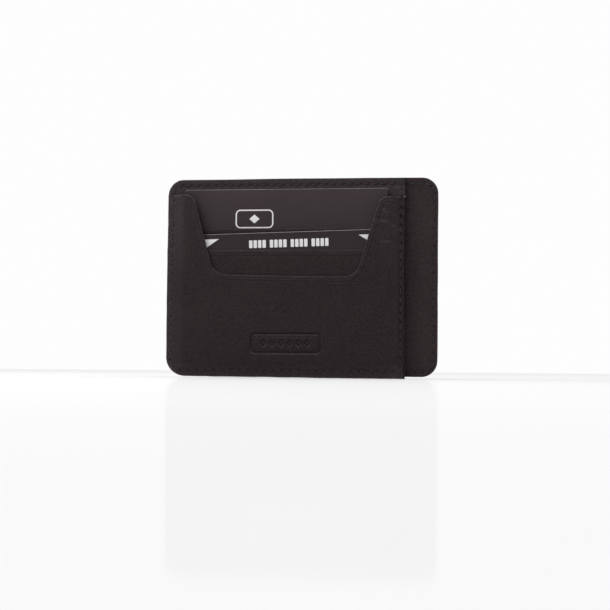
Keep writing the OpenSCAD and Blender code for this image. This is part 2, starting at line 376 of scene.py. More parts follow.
def fill(ring, edge, step, fine, fine_step=0.3):
    """Points inside edge, and the triangles between them and the ring around it.

    fine is a box with smaller triangles, or None."""

    def grid(x0, z0, x1, z1, pitch):
        """Points in staggered rows."""
        xs, zs = np.arange(x0 + pitch / 2, x1, pitch), np.arange(z0 + pitch / 2, z1, pitch * 0.87)
        gx, gz = np.meshgrid(xs, zs)
        gx = gx + (np.arange(len(zs)) % 2)[:, None] * pitch / 2
        return np.stack([gx.ravel(), gz.ravel()], 1)

    points = grid(*ring.min(0), *ring.max(0), step)
    if fine is not None:
        x0, z0, x1, z1 = fine
        out = (points[:, 0] < x0) | (points[:, 0] > x1) | (points[:, 1] < z0) | (points[:, 1] > z1)
        points = np.vstack([points[out], grid(x0, z0, x1, z1, fine_step)])
    points = points[inside(points, edge)]
    every = np.vstack([ring, points])
    _, _, faces, origin, _, _ = delaunay_2d_cdt(
        [tuple(p) for p in every], [], [list(range(len(ring)))], 1, 1e-7)
    index = [o[0] for o in origin]
    return points, [[index[v] for v in f] for f in faces]


def sheet_rings(half, extra):
    """Insets and drops of the rings that round an edge of this half thickness, then flat ones."""
    turn = [math.radians(a) for a in (0, 18, 36, 54, 72, 90)]
    round_part = [(half * (1 - math.cos(t)), half * (1 - math.sin(t))) for t in turn]
    return round_part + [(d, 0.0) for d in extra if d > half]


FRONT_RINGS = [0.6, 0.8, 1.0, 1.2, 1.4, 1.6, 1.8, 2.0, 2.2, 2.4, 2.6, 2.8, 3.0, 3.3]
WOBBLE = 0.07  # how far a hand-cut edge strays
FAR_IN = 9.0   # the inset that stands for a sheet's middle


def sheet(name, outline, under, over, body, slot, materials, replaces=(), rings=(0.6, 1.0, 1.5, 2.0),
          step=1.4, back_rings=(0.6, 1.2), back_step=2.5, fine=None, edge=None, wear_and_painted_light=None,
          pale=()):
    """A soft sheet with rounded edges between two level functions of x and z.

    edge(inset, point number) gives what is added to the front along the outline,
    the next function of x, z and inset how worn it is there together with the light and shade
    painted there, and pale the outline's points where the edge shows the second material."""
    border = outline.ring()
    n = len(border)
    low, high = under(*border.T), over(*border.T)
    half = float((high - low).mean() / 2)
    verts = [np.stack([border[:, 0], (low + high) / 2, border[:, 1]], 1)]
    insets = [np.zeros(n)]
    faces, kinds = [], []
    i = np.arange(n)
    j = (i + 1) % n

    for side, extra, pitch in ((1, rings, step), (-1, back_rings, back_step)):
        last = 0
        for inset, drop in sheet_rings(half, extra)[1:]:
            ring = outline.ring(inset)
            bottom, top = under(*ring.T), over(*ring.T)
            drop_here = drop / half * (top - bottom) / 2
            if side > 0:
                level = top - drop_here
                if edge is not None:
                    level = level + edge(inset, i)
            else:
                level = bottom + drop_here
            start = sum(map(len, verts))
            verts.append(np.stack([ring[:, 0], level, ring[:, 1]], 1))
            insets.append(np.full(n, inset))
            quads = np.stack([last + i, last + j, start + j, start + i], 1)
            faces += (quads if side > 0 else quads[:, ::-1]).tolist()
            kinds += [int(k in pale and inset <= half * 0.45) for k in range(n)]
            last = start
        edge_ring = outline.ring(inset + min(0.5 * pitch, 0.5))
        points, triangles = fill(ring, edge_ring, pitch, fine if side > 0 else None)
        start = sum(map(len, verts))
        level = over(*points.T) if side > 0 else under(*points.T)
        verts.append(np.stack([points[:, 0], level, points[:, 1]], 1))
        insets.append(np.full(len(points), FAR_IN))
        for f in triangles:
            f = [last + v if v < n else start + v - n for v in f]
            faces.append(f if side > 0 else f[::-1])
        kinds += [0] * len(triangles)
    verts, insets = np.vstack(verts), np.concatenate(insets)
    seed = sum(map(ord, name))
    shift = [WOBBLE * waves(verts[:, 0], verts[:, 2], seed + k, 24, 24) for k in (0, 1)]
    if slot != "card":
        verts = np.stack([verts[:, 0] + shift[0], verts[:, 1],
                          np.maximum(verts[:, 2] + shift[1], BLOCK_FOOT)], 1)
    worn_and_painted_light = None if wear_and_painted_light is None else wear_and_painted_light(verts[:, 0], verts[:, 2], insets)
    return add_piece(name, verts, faces, body, replaces, materials, kinds, worn_and_painted_light)


def flat(level):
    """A level function that is the same everywhere."""
    return lambda x, z: np.full_like(x, level)


def sewn_wear_and_painted_light(marks):
    """Paler along the edge, partly rubbed and partly a painted highlight, and painted shade where the
    thread pulls the leather in.
    """
    return lambda x, z, inset: bell(inset, 0.35) - 4.0 * pressed(x, z, marks, 0.01)


# ---------------------------------------------------------------- materials


def plug(tree, socket, value):
    """Link a node's socket to another one, or give it a plain value."""
    if isinstance(value, bpy.types.NodeSocket):
        tree.links.new(value, socket)
    else:
        socket.default_value = value


class Graph:
    """A material's nodes: node() adds one, with its settings and its inputs by name."""

    def __init__(self, name):
        self.material = bpy.data.materials.new(name)
        self.material.use_nodes = True
        self.tree = self.material.node_tree
        self.tree.nodes.clear()

    def node(self, kind, inputs=None, **settings):
        made = self.tree.nodes.new("ShaderNode" + kind)
        for k, v in settings.items():
            setattr(made, k, v)
        for k, v in (inputs or {}).items():
            plug(self.tree, made.inputs[k], v)
        return made

    def place(self):
        return self.node("TexCoord").outputs["Object"]

    def noise(self, where, scale, detail, rough=0.55):
        return self.node("TexNoise", {"Vector": where, "Scale": scale, "Detail": detail,
                                      "Roughness": rough}).outputs["Fac"]

    def math(self, kind, a, b):
        made = self.node("Math", operation=kind)
        for socket, v in zip(made.inputs, (a, b)):
            plug(self.tree, socket, v)
        return made.outputs[0]

    def spread(self, value, low, high, out_low=0.0, out_high=1.0):
        return self.node("MapRange", {"Value": value, "From Min": low, "From Max": high,
                                      "To Min": out_low, "To Max": out_high}).outputs["Result"]

    def mix(self, factor, a, b):
        made = self.node("Mix", data_type="RGBA")
        for k, v in ((0, factor), (6, a), (7, b)):
            plug(self.tree, made.inputs[k], (*v, 1.0) if isinstance(v, tuple) else v)
        return made.outputs[2]

    def bump(self, height, distance, normal=None):
        """A bump whose full height is distance, in millimetres."""
        inputs = {"Height": height, "Distance": distance * MM, "Strength": 1.0}
        if normal is not None:
            inputs["Normal"] = normal
        return self.node("Bump", inputs).outputs["Normal"]

    def finish(self, colour, roughness, normal, specular=0.5, **constants):
        inputs = {"Base Color": colour, "Roughness": roughness, "Normal": normal,
                  "Specular IOR Level": specular}
        inputs.update({k.replace("_", " "): v for k, v in constants.items()})
        shader = self.node("BsdfPrincipled", inputs)
        self.node("OutputMaterial", {"Surface": shader.outputs[0]})
        return self.material


def leather(name, dark, light, rub_and_highlight_colour, specular=0.3, grain=1.0):
    """Fine-grained leather: small cells with pores, soft creases, patchy dye, and the pale raw
    colour where it is worn. The per-point attribute also paints light in: the pale colour as
    a painted highlight where it is above 0, and painted shade where it is below 0."""
    g = Graph(name)
    where = g.place()
    swirl = g.node("TexNoise", {"Vector": where, "Scale": 1300.0, "Detail": 2.0}).outputs["Color"]
    small = g.node("VectorMath", {0: swirl, "Scale": 0.00022}, operation="SCALE").outputs[0]
    warped = g.node("VectorMath", {0: where, 1: small}, operation="ADD")
    cells = g.node("TexVoronoi", {"Vector": warped.outputs[0], "Scale": 2600.0},
                   feature="DISTANCE_TO_EDGE").outputs["Distance"]
    cell_height = g.spread(cells, 0.0, 0.22)
    pores = g.noise(where, 5200.0, 3.0)
    stretched = g.node("Mapping", {"Vector": where, "Scale": (0.6, 1.0, 1.0)}).outputs[0]
    folds = g.noise(stretched, 1600.0, 3.0, 0.6)
    creases = g.noise(stretched, 330.0, 4.0, 0.6)
    patches = g.noise(where, 45.0, 4.0, 0.6)
    worn_and_painted_light = g.node("Attribute", attribute_name="wear_and_painted_light").outputs["Fac"]
    tone = g.math("ADD", g.spread(patches, 0.3, 0.7, 0.0, 0.4),
                  g.spread(folds, 0.38, 0.62, -0.26, 0.72))
    tone = g.math("ADD", tone, g.spread(cells, 0.0, 0.16, -0.18, 0.12))
    colour = g.mix(g.math("MINIMUM", g.math("MAXIMUM", tone, 0.0), 1.0), dark, light)
    # Painted shade where the per-point attribute is below 0: stitch holes, creases, hollows and the
    # block's side.
    painted_shade = g.math("MINIMUM", g.math("MAXIMUM", g.math("MULTIPLY", worn_and_painted_light, -1.0), 0.0), 0.85)
    colour = g.mix(painted_shade, colour, tuple(0.2 * c for c in dark))
    uneven = g.spread(g.noise(where, 900.0, 4.0), 0.35, 0.65, 0.35, 1.0)
    # Rubbed pale leather and painted highlights where the attribute is above 0.
    rub_and_highlight = g.math("MULTIPLY", g.math("MAXIMUM", worn_and_painted_light, 0.0), uneven)
    colour = g.mix(g.math("MULTIPLY", rub_and_highlight, 0.55), colour, rub_and_highlight_colour)
    rough = g.math("SUBTRACT", g.spread(folds, 0.3, 0.7, 0.42, 0.6), g.math("MULTIPLY", rub_and_highlight, 0.06))
    normal = g.bump(creases, 0.4 * grain)
    normal = g.bump(folds, 0.34 * grain, normal)
    normal = g.bump(cell_height, 0.05 * grain, normal)
    normal = g.bump(pores, 0.012 * grain, normal)
    return g.finish(colour, rough, normal, specular, Specular_Tint=(1.0, 0.8, 0.84, 1.0))


def cloth(name, dark, light):
    """Thin twill lining: slanted ribs crossed by fine threads."""
    g = Graph(name)
    where = g.place()
    turned = g.node("Mapping", {"Vector": where, "Rotation": (0, math.radians(52), 0)}).outputs[0]
    ribs = g.node("TexWave", {"Vector": turned, "Scale": 620.0, "Distortion": 0.4, "Detail": 1.0,
                              "Detail Scale": 2.0}, bands_direction="X").outputs["Fac"]
    threads = g.node("TexWave", {"Vector": where, "Scale": 1100.0, "Distortion": 0.3},
                     bands_direction="Z").outputs["Fac"]
    weave = g.math("ADD", g.math("MULTIPLY", ribs, 0.7), g.math("MULTIPLY", threads, 0.3))
    tint = g.noise(where, 120.0, 4.0)
    colour = g.mix(g.math("MULTIPLY", weave, g.spread(tint, 0.3, 0.7, 0.5, 1.0)), dark, light)
    return g.finish(colour, g.spread(weave, 0, 1, 0.85, 0.7), g.bump(weave, 0.03), 0.2,
                    Sheen_Weight=0.15, Sheen_Roughness=0.5)


def thread(name, dark, light):
    """Waxed sewing thread: fine fibres that run along it and a soft shine."""
    g = Graph(name)
    where = g.place()
    fibres = g.noise(where, 6500.0, 4.0, 0.7)
    colour = g.mix(g.spread(fibres, 0.3, 0.7), dark, light)
    return g.finish(colour, g.spread(fibres, 0.3, 0.7, 0.5, 0.75), g.bump(fibres, 0.03), 0.25)


def card_stock(name, dark, light, specular=0.35, roughness=(0.5, 0.6), distance=0.006, painted_shade_span=None):
    """Stiff smooth card: a faint fibre in its colour and a matt face.

    The last argument, if given, holds the height up to which the card is darkened as painted shade and
    the one above which it is painted lighter."""
    g = Graph(name)
    where = g.place()
    fibre = g.noise(where, 1500.0, 4.0, 0.6)
    cloud = g.noise(where, 60.0, 3.0)
    tone = g.math("ADD", g.math("MULTIPLY", fibre, 0.5), g.math("MULTIPLY", cloud, 0.5))
    mottle = g.spread(tone, 0.35, 0.65)
    if painted_shade_span is None:
        colour = g.mix(mottle, dark, light)
    else:
        # Painted shade on the lower part, painted lighter toward the top.
        height = g.node("SeparateXYZ", {"Vector": where}).outputs["Z"]
        share = g.spread(height, painted_shade_span[0] * MM, painted_shade_span[1] * MM)
        painted_lit_colour = g.mix(mottle, tuple(1.25 * c for c in dark), tuple(1.25 * c for c in light))
        colour = g.mix(share, tuple(0.88 * c for c in dark), painted_lit_colour)
    return g.finish(colour, g.spread(fibre, 0.3, 0.7, *roughness), g.bump(fibre, distance), specular,
                    Specular_Tint=(1.0, 0.85, 0.92, 1.0))


def board(name):
    """Grey board: pressed fibres with flecks."""
    g = Graph(name)
    where = g.place()
    fibre = g.noise(where, 1800.0, 5.0, 0.65)
    flecks = g.spread(g.noise(where, 700.0, 3.0), 0.6, 0.68)
    colour = g.mix(g.spread(fibre, 0.3, 0.7), (0.3, 0.26, 0.2), (0.42, 0.37, 0.3))
    colour = g.mix(g.math("MULTIPLY", flecks, 0.5), colour, (0.14, 0.12, 0.1))
    return g.finish(colour, g.spread(fibre, 0.3, 0.7, 0.8, 0.95), g.bump(fibre, 0.03), 0.3)


OUTER = leather("outer_leather", (0.0052, 0.0037, 0.0039), (0.0185, 0.0138, 0.0145),
                (0.105, 0.084, 0.091), specular=0.26)
SLOT_LEATHER = leather("slot_leather", (0.0068, 0.0049, 0.0052), (0.0195, 0.0147, 0.0154),
                       (0.1, 0.08, 0.087), specular=0.26, grain=0.6)
INNER = leather("inner_leather", (0.0100, 0.0073, 0.0078), (0.0272, 0.0206, 0.0216),
                (0.085, 0.036, 0.022))
BASE = leather("base_leather", (0.0090, 0.0066, 0.0070), (0.0260, 0.0198, 0.0208),
               (0.115, 0.094, 0.101))
CLOTH = cloth("lining_cloth", (0.008, 0.007, 0.0078), (0.02, 0.018, 0.019))
THREAD = thread("thread", (0.017, 0.0137, 0.0146), (0.056, 0.0452, 0.0478))
BURNT = thread("burnt_thread", (0.28, 0.26, 0.25), (0.6, 0.57, 0.55))
# The upper card: painted shade up to the upper slot's mouth, blending to a painted lighter tone 15 mm
# above it.
CARD = card_stock("card", (0.0275, 0.0205, 0.0235), (0.034, 0.0255, 0.029),
                  painted_shade_span=(UPPER_MOUTH, UPPER_MOUTH + 15))
CARD_LOW = card_stock("card_low", (0.0155, 0.0112, 0.0128), (0.0205, 0.0152, 0.0170))
# Pale top edges: the card's pale core, made brighter as a painted highlight.
CARD_EDGE = card_stock("card_edge", (0.3, 0.275, 0.285), (0.55, 0.515, 0.53), 0.3, (0.7, 0.8))
CARD_LOW_EDGE = card_stock("card_low_edge", (0.45, 0.41, 0.40), (0.8, 0.76, 0.75), 0.3, (0.7, 0.8))
PRINT = card_stock("card_print", (0.74, 0.73, 0.74), (0.82, 0.81, 0.82), 0.4, (0.45, 0.55), 0.003)
GREY_BOARD = board("board")

# ---------------------------------------------------------------- the back panel


def make_back_panel():
    """The back's outer leather, its facing and the grey board between them."""
    outline = Outline([(LEFT, FOOT, FOOT_R), (RIGHT, FOOT, CORNER_R), (RIGHT, TOP, CORNER_R),
                       (LEFT, TOP, CORNER_R)])
    panel = [LEFT, FOOT, RIGHT, TOP]
    turned = 2.0

    def cover_back(x, z):
        seam = rounded_box_distance(x, z, SEAM, SEAM_R)
        soft = 0.03 * (1 + waves(x, z, 11, 34, 26)) * smooth(1.0, 6.0, -seam)
        return 0.13 * bell(seam, 0.55) + pressed(x, z, MARKS["outer_stitches_back"]) + soft

    def cover_front(x, z):
        inset = -rounded_box_distance(x, z, panel, CORNER_R)
        return BOARD - (BOARD - 0.9) * smooth(turned - 0.15, turned + 0.15, inset)

    sheet("back_cover_leather", outline, cover_back, cover_front, "holder",
          "outer_leather", [OUTER], ["back_cover"], rings=(0.8, 1.4, 1.8, 2.0, 2.2), step=2.5,
          back_rings=FRONT_RINGS, back_step=0.8, wear_and_painted_light=sewn_wear_and_painted_light(MARKS["outer_stitches_back"]))

    def facing(x, z):
        strip = smooth(BLOCK_RIGHT - 1, BLOCK_RIGHT + 1.5, x)
        fine = 0.032 * waves(x, z, 5, 14, 2.6, 14) + 0.03 * waves(x, z, 6, 9, 12)
        seam = rounded_box_distance(x, z, SEAM, SEAM_R)
        sewn = 0.08 * bell(seam, 0.5)
        marks = FRONT_MARKS[FRONT_MARKS[:, 0] > BLOCK_RIGHT]
        inset = -rounded_box_distance(x, z, panel, CORNER_R)
        calm = smooth(0.3, 1.0, inset)
        return STRIP - 0.06 + strip * calm * (fine - sewn) - pressed(x, z, marks) * strip

    sheet("back_facing_leather", outline, flat(BOARD), facing, "holder", "inner_leather", [INNER],
          ["back_facing"], rings=FRONT_RINGS, step=0.75, wear_and_painted_light=sewn_wear_and_painted_light(FRONT_MARKS))
    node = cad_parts["back_stiffener"]
    node.data.materials.clear()
    node.data.materials.append(GREY_BOARD)


# ---------------------------------------------------------------- the pocket block


def declare_cloth(outline):
    """Works out the outline's points in metres and leaves them unused."""
    x, z = (outline.ring() * MM).T


def make_lining():
    """The lining on the block's back, folded double along its three sewn sides."""
    hem, hem_t = 3.4, 0.25

    def back(x, z):
        into_hem = np.maximum(np.maximum(LEFT + hem - x, FOOT + hem - z), z - TOP + hem)
        return LINING[0] + hem_t * (1 - smooth(-0.4, 0.4, into_hem))

    outline = block_outline()
    piece = sheet("side_pocket_lining_cloth", outline, back, flat(LINING[1]), "holder",
                  "lining_cloth", [CLOTH], ["side_pocket_lining"], rings=(0.5, 1.2), step=3,
                  back_rings=(0.4, 1.0, 2.0, 2.8), back_step=1.0)
    declare_cloth(outline)


BARE_FROM, BARE_FULL = 66.0, 69.0  # heights between which the base sheet comes free


def make_base():
    """The sheet behind the cards, with a turned edge at the right and gathers at the top left."""

    def front(x, z):
        open_part = smooth(BARE_FROM, BARE_FULL, z)
        ridge = 0.14 * bell(x - (BLOCK_RIGHT - 0.75), 0.62) * smooth(67.5, BARE_FULL, z)
        fan_x, fan_z = LEFT + 9, TOP - 10
        angle = np.arctan2(z - fan_z, x - fan_x)
        radius = np.hypot(x - fan_x, z - fan_z)
        in_fan = smooth(6.5, 11, radius) * smooth(1.75, 2.1, angle) * (1 - smooth(2.7, 3.0, angle))
        gathers = 0.15 * np.sin(angle * 26) * in_fan
        sewn = 0.1 * bell(z - TOP + 2.3, 0.55) + pressed(x, z, FRONT_MARKS)
        soft = 0.035 * waves(x, z, 3, 12, 5)
        return BASE_FRONT - 0.05 + open_part * (ridge + gathers + soft - sewn)

    def worn_and_painted_light(x, z, inset):
        """Rubbed where it is bare beside the card; painted shade in the hollow of the left horn and on
        the block's side; paler edges, partly rubbed and partly a painted highlight; painted shade in
        the stitch holes.
        """
        # Painted shade in the hollow left of the upper card, up to about 12 mm above the upper slot's
        # mouth.
        painted_hollow_shade = (1 - smooth(11.4, 12.6, z - UPPER_MOUTH)) * (x > SEAM[0] + 0.8) * (x < LEFT + 9)
        bare = smooth(SEAM[1], SEAM[1] + 1, z) * (1 - smooth(TOP - 3.6, TOP - 2.6, z))
        # Painted shade on the block's right side.
        side = smooth(BLOCK_RIGHT - 0.45, BLOCK_RIGHT - 0.15, x)
        # Paler edge, partly rubbed and partly a painted highlight, and painted shade in the stitch
        # holes.
        stitched = bell(inset, 0.35) * (1 - side) - 4.0 * pressed(x, z, FRONT_MARKS, 0.01)
        return stitched + 0.22 * bare + 0.2 - 1.0 * painted_hollow_shade - 0.8 * side

    sheet("block_base_leather", block_outline(), flat(BASE_BACK), front, "holder", "inner_leather",
          [BASE], ["block_base"], rings=FRONT_RINGS, step=0.7, wear_and_painted_light=worn_and_painted_light)


def slot_wear_and_painted_light(mouth):
    """Paler at the folded mouth, partly rubbed and partly a painted highlight, and below it a fine line
    of painted shade in the pressed crease, between that and a thin painted highlight on the fold.
    """
    return lambda x, z, inset: (0.9 * bell(z - mouth, 0.45) + 0.35 * bell(z - (mouth - 1.6), 0.2)
                                - 0.45 * bell(z - (mouth - 2.1), 0.26))


def make_slot(side, under, mouth, split, seed):
    """One slot: leather with a folded mouth and a pressed line below it, then cloth."""

    def over(x, z):
        fold = 0.05 * smooth(mouth - 2.1, mouth - 1.7, z)
        crease = 0.18 * bell(z - (mouth - 2.1), 0.24)
        soft = 0.03 * waves(x, z, seed, 30, 9) * smooth(3, 9, mouth - z)
        return under(x, z) + SLOT_T - 0.01 - 0.05 * rise(x, z) + fold - crease + soft

    def cloth_over(x, z):
        return under(x, z) + SLOT_T * (1 - 0.2 * rise(x, z)) - 0.01

    outline = block_outline(split, mouth)
    sheet(f"{side}_slot_leather_piece", outline, under, over, "holder", "outer_leather",
          [SLOT_LEATHER], [f"{side}_slot_leather"],
          rings=(0.3, 0.6, 1.0, 1.4, 1.7, 1.9, 2.1, 2.3, 2.6), step=0.8, wear_and_painted_light=slot_wear_and_painted_light(mouth))
    outline = block_outline(None, split - 0.02)
    rings = (0.3, 0.6, 1.2, 1.8, 2.4, 3.0)
    piece = sheet(f"{side}_slot_cloth_piece", outline, under, cloth_over, "holder", "lining_cloth",
                  [CLOTH], [f"{side}_slot_cloth"], rings, 1.0, rings, 1.5)
    declare_cloth(outline)


# ---------------------------------------------------------------- the front panel

EMBOSS_X, EMBOSS_HALF, EMBOSS_R = SCOOP["x"] + 0.7, 13.75, 1.8
EMBOSS = [EMBOSS_X - EMBOSS_HALF, FOOT + 8.4, EMBOSS_X + EMBOSS_HALF, FOOT + 16.2]


def embossed(x, z):
    """A pressed double frame with a row of small lozenges, plain ornament."""
    out = rounded_box_distance(x, z, EMBOSS, EMBOSS_R)
    frame_line = bell(out + 0.35, 0.34) + 0.35 * bell(out + 1.3, 0.22)
    cx, cz = (EMBOSS[0] + EMBOSS[2]) / 2, (EMBOSS[1] + EMBOSS[3]) / 2
    pitch, count = 3.4, 6
    k = np.clip(np.round((x - cx) / pitch - 0.5) + 0.5, -count / 2 + 0.5, count / 2 - 0.5)
    lozenge = np.abs(x - cx - k * pitch) / 1.25 + np.abs(z - cz) / 1.75
    return 0.36 * frame_line + 0.26 * (1 - smooth(0.75, 1.05, lozenge)) * smooth(0.2, 0.5, lozenge)


def horn_folds(x, z):
    """Where the right horn is wrinkled."""
    return bell(x - (BLOCK_RIGHT - 5.5), 5.0) * smooth(46, 54, z) * (1 - smooth(63, 69, z))


def wrinkles(x, z):
    """Slanting wrinkles, between about -1 and 1."""
    return waves(x + 0.6 * z, z, 23, 9, 2.6, 12)


def fold_share(x):
    """The pressed line along the scoop is fainter on the left horn."""
    return 0.4 + 0.6 * smooth(SCOOP["x"] - 30, SCOOP["x"] - 16, x)


def front_over(x, z):
    """The outer face of the front panel, apart from the rim along its edge."""
    level = front_skin(x, z)
    margin = np.minimum(np.minimum(x - SEAM[0], z - SEAM[1]), EDGE_SEAM - x)
    seam = np.minimum(np.abs(rounded_box_distance(x, z, [*SEAM[:2], 999, 999], SEAM_R)),
                      np.abs(x - EDGE_SEAM))
    level = level - 0.05 * bell(seam, 0.5) - pressed(x, z, FRONT_MARKS)
    body = smooth(1, 6, margin)
    level = level + body * (0.12 * waves(x, z, 21, 46, 30) + 0.02 * waves(x, z, 22, 11, 6))
    level = level + 0.15 * horn_folds(x, z) * wrinkles(x, z)
    foot = bell(z - SEAM[1] - 3.2, 2.2) * body
    level = level + foot * 0.03 * waves(x, z, 24, 5, 30)
    return level - embossed(x, z)


def make_front():
    """The front leather, with a raised rim and a pressed line along its horns and scoop."""
    outline = below_horns([(LEFT + DRAWN_IN + 0.1, FOOT - FOOT_SAG, FOOT_R),
                           (BLOCK_RIGHT, BLOCK_FOOT, 0)], step=0.34)
    x, z = outline.ring().T
    on_scoop = ((x > LEFT + DRAWN_IN + 0.15) & (x < BLOCK_RIGHT - 0.05) & (z > 30)).astype(float)
    reach = 6
    around = np.concatenate([on_scoop[-reach:], on_scoop, on_scoop[:reach]])
    blur = np.full(2 * reach + 1, 1 / (2 * reach + 1))
    share = on_scoop * np.convolve(around, blur, "same")[reach:-reach] * fold_share(x)

    def rim(inset, i):
        raised = 0.18 * (1 - smooth(1.55, 2.0, inset))
        crease = 0.16 * bell(inset - 1.95, 0.22)
        return share[i] * (raised * smooth(0.0, 0.5, inset) - crease)

    def worn_and_painted_light(x, z, inset):
        """Painted light with some wear: paler edges, partly rubbed and partly a painted highlight;
        painted highlights along the scoop's rim and fold, on the horns, in the margin, beside the edge
        seam and on the lower side of the pressed frame's lines; paler streaks on the right horn's
        wrinkles; painted shade in the pressed frame, in the stitch holes and at the side.
        """
        # Painted highlights on the scoop's rim and fold, 1.5 and 2.35 mm in from the edge.
        along = (z > SCOOP["z"] - 3) * (x > LEFT + 4) * (x < BLOCK_RIGHT - 4)
        painted_fold_highlight = bell(inset - 1.5, 0.18) + 0.7 * bell(inset - 2.35, 0.16)
        # Painted shade on the block's right side.
        side = smooth(BLOCK_RIGHT - 0.5, BLOCK_RIGHT - 0.2, x)
        # Painted light in the left and lower margins.
        margin = (0.4 * (1 - smooth(0.2, 1.8, x - SEAM[0]))
                  + 0.4 * (1 - smooth(0.4, 3.4, z - SEAM[1])) * (1 - side))
        # Painted light in a band left of the edge seam.
        turn = 0.24 * bell(EDGE_SEAM - 2.2 - x, 1.8)
        streaks = 0.9 * smooth(0.3, 1.2, wrinkles(x, z)) * horn_folds(x, z)
        # Painted light on the horns, most on the left one.
        horns = bell(x - LEFT - 4, 6.0) + 0.6 * bell(x - BLOCK_RIGHT + 5, 5.0)
        horns = 0.28 * horns * smooth(SCOOP["z"] - 5, SCOOP["z"] + 24, z)
        # Painted highlight on the lower side of each pressed frame line.
        painted_groove_highlight = embossed(x, z + 0.28) - embossed(x, z - 0.28)
        # The edge is paler, partly rubbed and partly a painted highlight.
        paler = (1.5 * bell(inset, 0.3) * (1 - side) + 0.5 * along * fold_share(x) * painted_fold_highlight
                 + margin + turn + streaks + horns + 3.2 * painted_groove_highlight)
        # Painted shade in the pressed frame, in the stitch holes and on the block's side.
        return paler - 0.8 * embossed(x, z) - 0.9 * side - 4.0 * pressed(x, z, FRONT_MARKS, 0.01)

    around_frame = [EMBOSS[0] - 1.2, EMBOSS[1] - 1.2, EMBOSS[2] + 1.2, EMBOSS[3] + 1.2]
    sheet("front_panel_leather", outline, front_under, front_over, "holder", "outer_leather",
          [OUTER], ["front_panel"], rings=FRONT_RINGS, step=0.62, fine=around_frame, edge=rim,
          wear_and_painted_light=worn_and_painted_light, back_rings=(0.6, 1.2, 1.8, 2.4, 3.0), back_step=1.6)


def make_front_lining():
    """Thin cloth glued behind the front panel, drawn back from the scoop's edge."""
    low, high = box_mm("front_panel_lining")
    outline = below_horns([(low[0], low[2], 1.5), (high[0], low[2], 1.5)], trim=1.0)
    piece = sheet("front_panel_lining_cloth", outline, lambda x, z: front_under(x, z) - 0.15,
                  lambda x, z: front_under(x, z) - 0.005, "holder", "lining_cloth", [CLOTH],
                  ["front_panel_lining"], rings=(0.3,), step=1.2, back_rings=(0.3,), back_step=1.2)
    declare_cloth(outline)


# ---------------------------------------------------------------- stitching


def make_stitches(node, level_at, facing=1, slant=6.0, radius=0.24):
    """Twisted two-ply thread, dipping into the leather at both ends of each stitch."""
    rows, around = 13, 10
    verts, faces = [], []
    rng = np.random.default_rng(len(MARKS[node]))
    angles = np.arange(around) * 2 * math.pi / around
    for cx, cz, ux, uz, half in MARKS[node]:
        lean = math.radians(slant + rng.normal(0, 1.2))
        ux, uz = ux * math.cos(lean) - uz * math.sin(lean), ux * math.sin(lean) + uz * math.cos(lean)
        phase = rng.uniform(0, math.pi)
        start = len(verts)
        t = np.linspace(-1, 1, rows)
        bend = np.abs(t) ** 3.0
        px, pz = cx + ux * t * (half + 0.2), cz + uz * t * (half + 0.2)
        surface = level_at(np.array([cx]), np.array([cz]))[0]
        height = surface + facing * (radius * 0.5 - bend * radius * 2.0)
        for k in range(rows):
            grow = 1 - 0.35 * bend[k]
            lobes = 1 + 0.2 * np.cos(2 * (angles - phase - t[k] * 4.2))
            r = radius * grow * lobes
            side, up = r * np.cos(angles), r * np.sin(angles) * 0.9
            ring = [px[k] - uz * side, height[k] + facing * up, pz[k] + ux * side]
            verts += np.stack(ring, 1).tolist()
        for k in range(rows - 1):
            for a in range(around):
                b = (a + 1) % around
                quad = [start + k * around + a, start + k * around + b,
                        start + (k + 1) * around + b, start + (k + 1) * around + a]
                faces.append(quad if facing > 0 else quad[::-1])
        cap = [start + a for a in range(around)]
        tail = [start + (rows - 1) * around + a for a in range(around)]
        faces += [cap[::-1], tail] if facing > 0 else [cap, tail[::-1]]
    add_piece(f"{node}_thread", verts, faces, "holder", [node], [THREAD])


def margin_level(x, z):
    """The visible surface that the front stitches lie on."""
    horn_left, horn_right = 68.0 + FOOT, 67.0 + FOOT
    on_front = (x < BLOCK_RIGHT) & (z < np.where(x < 0, horn_left, horn_right) + 1.2)
    front = front_skin(x, z) - 0.1
    base = np.full_like(x, BASE_FRONT - 0.12)
    strip = np.full_like(x, STRIP - 0.12)
    return np.where(x > BLOCK_RIGHT, strip, np.where(on_front, front, base))


def make_all_stitches():
    make_stitches("outer_stitches_front", margin_level)
    make_stitches("block_edge_stitches_front", margin_level)
    make_stitches("outer_stitches_back", lambda x, z: np.full_like(x, 0.2), facing=-1)
    make_stitches("block_edge_stitches_back", lambda x, z: np.full_like(x, LINING[0] + 0.21),
                  facing=-1, radius=0.13)
    make_stitches("upper_slot_floor_stitches", lambda x, z: np.full_like(x, BASE_FRONT + SLOT_T - 0.02),
                  radius=0.19)


def make_thread_end():
    """The melted end of the seam's thread, a pale bead at the outer end of the right horn."""
    rows, around, radius = 7, 10, 0.18
    place = (BLOCK_RIGHT - 0.2, BASE_FRONT + FRONT_T - 0.25, UPPER_MOUTH + 11.75)
    verts, faces = [], []
    for k in range(rows):
        t = math.pi * (k + 0.5) / rows
        for a in range(around):
            angle = 2 * math.pi * a / around
            r = radius * math.sin(t) * (1 + 0.15 * math.sin(3 * angle + 2 * t))
            verts.append((place[0] + r * math.cos(angle), place[1] - radius * 0.8 * math.cos(t),
                          place[2] + r * math.sin(angle)))
    for k in range(rows - 1):
        for a in range(around):
            b = (a + 1) % around
            faces.append([k * around + a, k * around + b, (k + 1) * around + b, (k + 1) * around + a])
    faces += [list(range(around))[::-1], [(rows - 1) * around + a for a in range(around)]]
    add_piece("thread_end", verts, faces, "holder", (), [BURNT])


# ---------------------------------------------------------------- cards and their prints

CARD_W, CARD_H, CARD_R = 79.0, 50.0, 0.6
TILT = math.radians(1.5)


